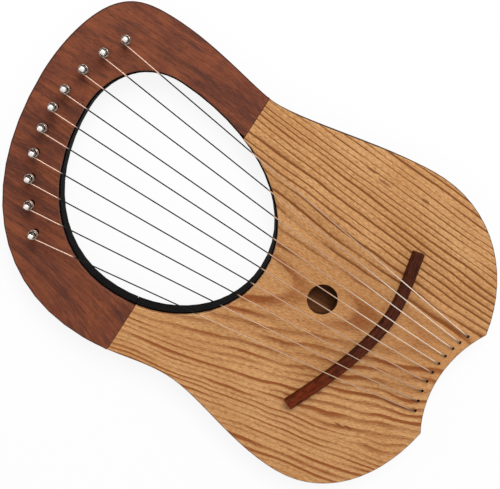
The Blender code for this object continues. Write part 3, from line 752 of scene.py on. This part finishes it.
def pin_mesh():
    """A turned pin with a square, domed head and a cross hole that takes the wire."""
    head_foot = PIN_EXPOSED - PIN_HEAD_LENGTH
    shoulder = head_foot - (PIN_RADIUS - PIN_HEAD_HALF)
    rings = [
        ring_of(PIN_RADIUS - PIN_TIP_CHAMFER, -PIN_EMBEDDED, PIN_SIDES),
        ring_of(PIN_RADIUS, PIN_TIP_CHAMFER - PIN_EMBEDDED, PIN_SIDES),
        ring_of(PIN_RADIUS, shoulder, PIN_SIDES),
        head_ring(1.0, head_foot),
    ]
    for step in range(PIN_DOME_RINGS + 1):
        angle = 90 * step / PIN_DOME_RINGS
        scale = PIN_DOME_SHARE + (1 - PIN_DOME_SHARE) * math.cos(math.radians(angle))
        height = PIN_EXPOSED - PIN_DOME * (1 - math.sin(math.radians(angle)))
        rings.append(head_ring(scale, height))
    blank = bpy.data.objects.new("pin_blank", closed_mesh("pin_blank", rings))
    way = lifted(heading(-FIRST_TURN - 360 * COIL_TURNS - hook_sizes()[1]), 0)
    turn = Vector((0, 0, 1)).rotation_difference(way).to_matrix().to_4x4()
    drill_ends = (-CROSS_DRILL_HALF, CROSS_DRILL_HALF)
    drill_rings = [ring_of(CROSS_HOLE_RADIUS, height, CROSS_HOLE_SIDES) for height in drill_ends]
    drill = bpy.data.objects.new("cross_drill", closed_mesh("cross_drill", drill_rings))
    drill.matrix_world = Matrix.Translation((0, 0, coil_end)) @ turn
    bpy.context.scene.collection.objects.link(drill)
    cut = blank.modifiers.new("cross_hole", "BOOLEAN")
    cut.solver = "EXACT"
    cut.object = drill
    mesh = baked(blank)
    bpy.data.objects.remove(drill)
    return mesh


def bead_mesh():
    """The barrel-shaped bead that holds a string's end in the back."""
    rings = []
    for step in range(BEAD_RINGS):
        share = step / (BEAD_RINGS - 1)
        bulge = math.sqrt(math.sin(math.pi * share))
        radius = BEAD_RADIUS * (BEAD_END_SHARE + (1 - BEAD_END_SHARE) * bulge)
        rings.append(ring_of(radius, BEAD_RECESS + (BEAD_TOP - BEAD_RECESS) * share, BEAD_SIDES))
    return closed_mesh("bead", rings)


def place_piece(piece, node, body):
    """A finer piece that stands for a CAD node, which it hides, and moves with a body."""
    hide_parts(node)
    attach(piece, body)


def build_strings():
    """Each string with its bead, its turns and its pin."""
    steel = string_finish()
    wound_steel = wound_finish()
    bridge_edges = top_edges("bridge", False)
    board_rim = top_edges("soundboard", True)
    yoke_rim = top_edges("yoke_face", True)
    shared_pin = pin_mesh()
    shared_pin.materials.append(nickel_finish())
    shared_bead = bead_mesh()
    shared_bead.materials.append(brass_finish())
    coil = coil_points()
    for tag in tags:
        pin = middle(f"tuning_pin_{tag}")
        hole = middle(f"ball_end_{tag}")
        points, painted_shade = string_route(pin, hole, bridge_edges, board_rim, yoke_rim)
        string = shown(f"string_wire_{tag}", wire_mesh("string_wire", points, painted_shade), steel)
        place_piece(string, f"string_{tag}", "harp_body")
        bead = bpy.data.objects.new(f"string_bead_{tag}", shared_bead)
        bead.location = lifted(hole, 0)
        bpy.context.scene.collection.objects.link(bead)
        place_piece(bead, f"ball_end_{tag}", "harp_body")
        wound = shown(f"wound_wire_{tag}", wire_mesh("wound_wire", coil, [0.0] * len(coil)), wound_steel)
        turned = bpy.data.objects.new(f"turned_pin_{tag}", shared_pin)
        bpy.context.scene.collection.objects.link(turned)
        for piece, node, slot_name in ((wound, "winding", "steel"), (turned, "tuning_pin", "nickel")):
            piece.location = lifted(pin, face_level)
            piece.rotation_euler = (0, 0, math.radians(leaving_angle(pin, hole)))
            place_piece(piece, f"{node}_{tag}", f"pin_{tag}")


def edge_share(spot, drilled):
    """The share of the rim's rounding that a plate's top edge gets at a place in plan, in millimetres."""
    if min((spot - hole).length for hole in drilled) < DRILLED_REACH:
        return DRILLED_EDGE_SHARE
    if (spot - Vector(SOUND_HOLE_MIDDLE)).length < SOUND_HOLE_REACH:
        return SOUND_HOLE_EDGE_SHARE
    if from_opening(spot.x, spot.y) < OPENING_LIMIT:
        return OPENING_EDGE_SHARE
    return 1.0


def rounded_plate(node, joint_level, outward):
    """A face plate's mesh, run on past its joint, with the edges of its face rounded, most round the rim."""
    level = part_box(node)[1].z - WELD_DISTANCE
    drilled = []
    for tag in tags:
        for kind in ("ball_end", "tuning_pin"):
            drilled.append(middle(f"{kind}_{tag}") * MILLIMETRES_IN_METRE)
    shape = bmesh.new()
    shape.from_mesh(nodes[node].data)
    bmesh.ops.remove_doubles(shape, verts=shape.verts, dist=WELD_DISTANCE)
    for corner in shape.verts:
        if abs(corner.co.y - joint_level) < WELD_DISTANCE:
            corner.co.y += outward * JOINT_SPARE
    bmesh.ops.dissolve_limit(shape, angle_limit=FLAT_ANGLE, verts=shape.verts, edges=shape.edges)
    top = [face for face in shape.faces if min(corner.co.z for corner in face.verts) > level]
    bmesh.ops.inset_region(shape, faces=top, thickness=RIM_STRIP, use_boundary=True, use_even_offset=True)
    weight = shape.edges.layers.float.new("bevel_weight_edge")
    for edge in shape.edges:
        ends = [corner.co for corner in edge.verts]
        if min(end.z for end in ends) > level and edge.calc_face_angle(0) > math.radians(EDGE_ANGLE):
            spot = ends[0].lerp(ends[1], 0.5).xy * MILLIMETRES_IN_METRE
            edge[weight] = edge_share(spot, drilled)
    blank = bpy.data.objects.new("plate_blank", bpy.data.meshes.new("plate_blank"))
    shape.to_mesh(blank.data)
    shape.free()
    rounded = blank.modifiers.new("rounded", "BEVEL")
    rounded.width = RIM_EDGE
    rounded.segments = RIM_SEGMENTS
    rounded.limit_method = "WEIGHT"
    rounded.use_clamp_overlap = False
    return baked(blank)


def build_plate(name, node, material, outward):
    """A face plate like its CAD node, cut off flat at the joint of the two plates."""
    low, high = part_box(node)
    joint_level = high.y if outward > 0 else low.y
    mesh = rounded_plate(node, joint_level, outward)
    shape = bmesh.new()
    shape.from_mesh(mesh)
    cut = bmesh.ops.bisect_plane(
        shape, geom=[*shape.verts, *shape.edges, *shape.faces],
        plane_co=(0, joint_level, 0), plane_no=(0, outward, 0), clear_outer=True)
    edges = [part for part in cut["geom_cut"] if isinstance(part, bmesh.types.BMEdge)]
    bmesh.ops.holes_fill(shape, edges=edges)
    shape.to_mesh(mesh)
    shape.free()
    mesh.shade_smooth()
    mesh.set_sharp_from_angle(angle=math.radians(EDGE_ANGLE))
    plate = shown(name, mesh, material)
    shading = plate.modifiers.new("shading", "WEIGHTED_NORMAL")
    shading.keep_sharp = True
    place_piece(plate, node, "harp_body")


def round_edges(node, width):
    """Joins a CAD node's split corners and rounds its edges, by modifiers alone."""
    weld = nodes[node].modifiers.new("joined", "WELD")
    weld.merge_threshold = WELD_DISTANCE
    rounded = nodes[node].modifiers.new("rounded", "BEVEL")
    rounded.width = width
    rounded.segments = EDGE_SEGMENTS
    rounded.limit_method = "ANGLE"
    rounded.angle_limit = math.radians(EDGE_ANGLE)
    rounded.harden_normals = True
    rounded.use_clamp_overlap = False


def dress_wood():
    """The two face plates as finer pieces, and the other wooden nodes with their finishes."""
    build_plate("ash_plate", "soundboard", ash_finish(), 1)
    build_plate("rosewood_plate", "yoke_face", rosewood_finish(), -1)
    # Near-black ribs and blocks: on the opening's walls the black is painted shade as well as stain
    ebonised_and_shade = stained_finish("ebonised_wood", False)
    spruce = spruce_finish()
    wood = {
        "bridge": bridge_finish(),
        "back_plate": stained_finish("back_wood", True),
    }
    for name in ("yoke_block", "tail_block", "left_rib", "right_rib", "opening_rib"):
        wood[name] = ebonised_and_shade
    for name in ("left_arm_block", "right_arm_block", "soundboard_brace", "back_brace"):
        wood[name] = spruce
    for side in ("left", "right"):
        for number in (1, 2):
            wood[f"{side}_dowel_{number}"] = spruce
    for name, material in wood.items():
        nodes[name].data.materials.clear()
        nodes[name].data.materials.append(material)
    for name in ("back_plate", "yoke_block"):
        round_edges(name, INNER_EDGE)
    round_edges("bridge", BRIDGE_EDGE)


# Floor, light and camera

def seen_directly(tree):
    """1 for what the camera sees, directly or in metal and glass, and 0 for light that bounces."""
    path = tree.nodes.new("ShaderNodeLightPath")
    camera, glossy, through = [Term(tree, path.outputs[name]) for name in (
        "Is Camera Ray", "Is Glossy Ray", "Is Transmission Ray")]
    return camera.math("MAXIMUM", glossy).math("MAXIMUM", through)


def build_floor():
    """A flat pale floor that stays white where nothing shades it."""
    half = FLOOR_SIZE / 2
    mesh = bpy.data.meshes.new("floor")
    corners = [(-half, -half, FLOOR_LEVEL), (half, -half, FLOOR_LEVEL),
               (half, half, FLOOR_LEVEL), (-half, half, FLOOR_LEVEL)]
    mesh.from_pydata(corners, [], [(0, 1, 2, 3)])
    material = bpy.data.materials.new("floor")
    material.use_nodes = True
    tree = material.node_tree
    shader = tree.nodes["Principled BSDF"]
    shader.inputs["Base Color"].default_value = grey(FLOOR_GREY)
    shader.inputs["Roughness"].default_value = FLOOR_ROUGHNESS
    shader.inputs["Specular IOR Level"].default_value = 0.0
    glow = tree.nodes.new("ShaderNodeEmission")
    mixed = tree.nodes.new("ShaderNodeMixShader")
    feed(tree, mixed.inputs["Fac"], seen_directly(tree) * FLOOR_GLOW_SHARE)
    tree.links.new(shader.outputs["BSDF"], mixed.inputs[1])
    tree.links.new(glow.outputs["Emission"], mixed.inputs[2])
    tree.links.new(mixed.outputs["Shader"], tree.nodes["Material Output"].inputs["Surface"])
    floor = shown("floor", mesh, material)


def build_light():
    """An even white sky and one large lamp."""
    world = bpy.data.worlds.new("studio")
    bpy.context.scene.world = world
    world.use_nodes = True
    tree = world.node_tree
    strength = seen_directly(tree) * (1 - SKY_STRENGTH) + SKY_STRENGTH
    background = tree.nodes["Background"]
    background.inputs["Color"].default_value = grey(1.0)
    feed(tree, background.inputs["Strength"], strength)
    lamp = bpy.data.lights.new("key", "AREA")
    lamp.size = KEY_SIZE
    lamp.energy = KEY_POWER
    key = bpy.data.objects.new("key", lamp)
    key.location = KEY_PLACE
    key.rotation_mode = "QUATERNION"
    key.rotation_quaternion = (-KEY_PLACE).to_track_quat("-Z", "Y")
    bpy.context.scene.collection.objects.link(key)


def build_camera():
    """The camera at the photo's viewing angle."""
    data = bpy.data.cameras.new("camera")
    data.lens = LENS
    data.sensor_width = SENSOR_WIDTH
    data.clip_start = CLIP_START
    back = (CAMERA_PLACE - CAMERA_TARGET).normalized()
    level = lifted(heading(PICTURE_RIGHT_HEADING), 0)
    right = (level - back * level.dot(back)).normalized()
    up = back.cross(right)
    camera = bpy.data.objects.new("camera", data)
    turn = Matrix((right, up, back)).transposed().to_4x4()
    camera.matrix_world = Matrix.Translation(CAMERA_PLACE) @ turn
    bpy.context.scene.collection.objects.link(camera)
    bpy.context.scene.camera = camera


dress_wood()
build_strings()
build_floor()
build_light()
build_camera()
bpy.context.scene.view_settings.view_transform = "Standard"
